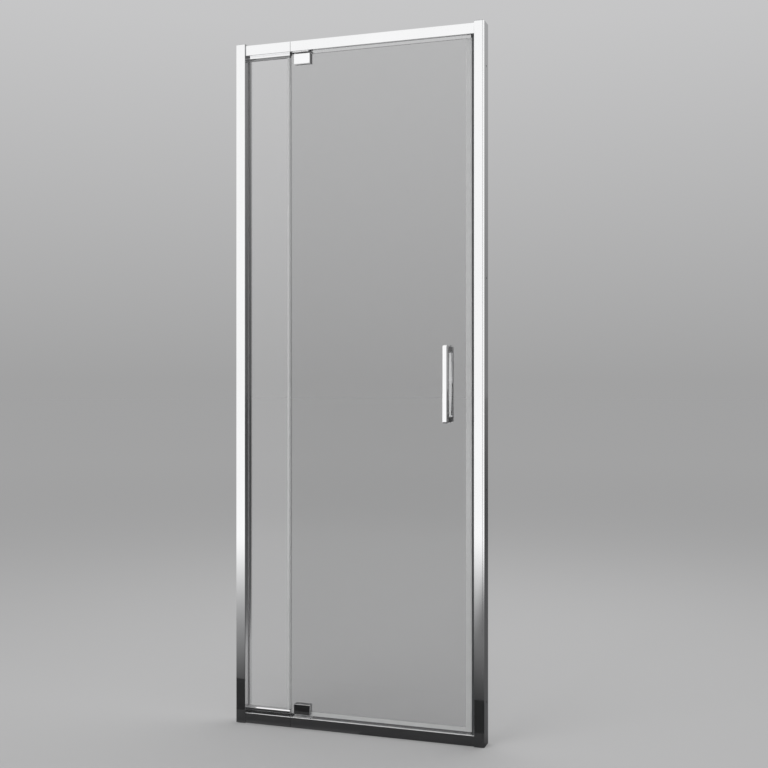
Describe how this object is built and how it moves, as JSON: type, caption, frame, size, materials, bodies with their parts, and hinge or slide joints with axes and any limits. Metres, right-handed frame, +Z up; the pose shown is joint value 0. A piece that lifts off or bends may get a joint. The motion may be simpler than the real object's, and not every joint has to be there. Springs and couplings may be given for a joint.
{
  "type": "pivot shower door",
  "caption": "Framed pivot shower door for a niche, with a fixed glass panel, a glass door on clamp hinges that turns on pins, bar handles and a magnetic closing strip.",
  "frame": {"origin": "middle of the frame's width, on the mid plane of the glass, at the floor", "axes": "+Z up, +X to the right seen from outside the shower, -Y towards the room, so +Y is the shower side"},
  "size_m": [0.75, 0.068, 2],
  "materials": {
    "polished_profile": "bright polished and anodised",
    "plain_aluminium": "extruded, not polished",
    "chrome_plate": "polished chrome plate",
    "stainless": "turned stainless steel",
    "clear_glass": "6 mm clear toughened glass with polished edges",
    "clear_seal": "clear extruded vinyl",
    "dark_gasket": "matt black",
    "grey_nylon": "moulded",
    "cap_plastic": "moulded, bright silver",
    "magnet_strip": "flexible magnetic strip"
  },
  "bodies": {
    "frame": {"wall_profile_left": "polished_profile", "wall_profile_right": "polished_profile", "jamb_left": "polished_profile", "jamb_right": "polished_profile", "top_rail_short": "polished_profile", "top_rail_long": "polished_profile", "bottom_rail_short": "polished_profile", "bottom_rail_long": "polished_profile", "glazing_channel_top": "polished_profile", "glazing_channel_bottom": "polished_profile", "head_slot_trim": "polished_profile", "sill_slot_trim": "polished_profile", "strike_profile": "polished_profile", "top_rail_joiner": "plain_aluminium", "bottom_rail_joiner": "plain_aluminium", "upper_pivot_plate": "chrome_plate", "lower_pivot_plate": "chrome_plate", "joiner_screws": "stainless", "rail_screws_left": "stainless", "rail_screws_right": "stainless", "lock_screws": "stainless", "pivot_plate_screws": "stainless", "fixed_glass": "clear_glass", "fixed_glass_seal": "clear_seal", "jamb_gaskets": "dark_gasket", "top_gaskets": "dark_gasket", "bottom_gaskets": "dark_gasket", "setting_blocks": "grey_nylon", "upper_pivot_block": "grey_nylon", "lower_pivot_block": "grey_nylon", "upper_pivot_bush": "grey_nylon", "lower_pivot_bush": "grey_nylon", "thrust_washer": "grey_nylon", "jamb_cap_left": "cap_plastic", "jamb_cap_right": "cap_plastic", "strike_magnet": "magnet_strip"},
    "door": {"door_glass": "clear_glass", "upper_hinge_front": "chrome_plate", "upper_hinge_back": "chrome_plate", "lower_hinge_front": "chrome_plate", "lower_hinge_back": "chrome_plate", "upper_hinge_gaskets": "dark_gasket", "lower_hinge_gaskets": "dark_gasket", "hinge_screws": "stainless", "hinge_sleeves": "grey_nylon", "upper_pivot_pin": "stainless", "lower_pivot_pin": "stainless", "pin_grub_screws": "stainless", "handle_outer": "chrome_plate", "handle_inner": "chrome_plate", "handle_studs": "stainless", "handle_sleeves": "grey_nylon", "handle_washers": "grey_nylon", "handle_grub_screws": "stainless", "door_edge_seal": "clear_seal", "door_magnet": "magnet_strip", "door_bottom_seal": "clear_seal"}
  },
  "joints": [
    {"name": "door_swing", "type": "hinge", "parent": "frame", "child": "door", "pos_m": [-0.1715, 0, 0.03], "axis": [0, 0, -1], "range_deg": [0, 95]}
  ]
}
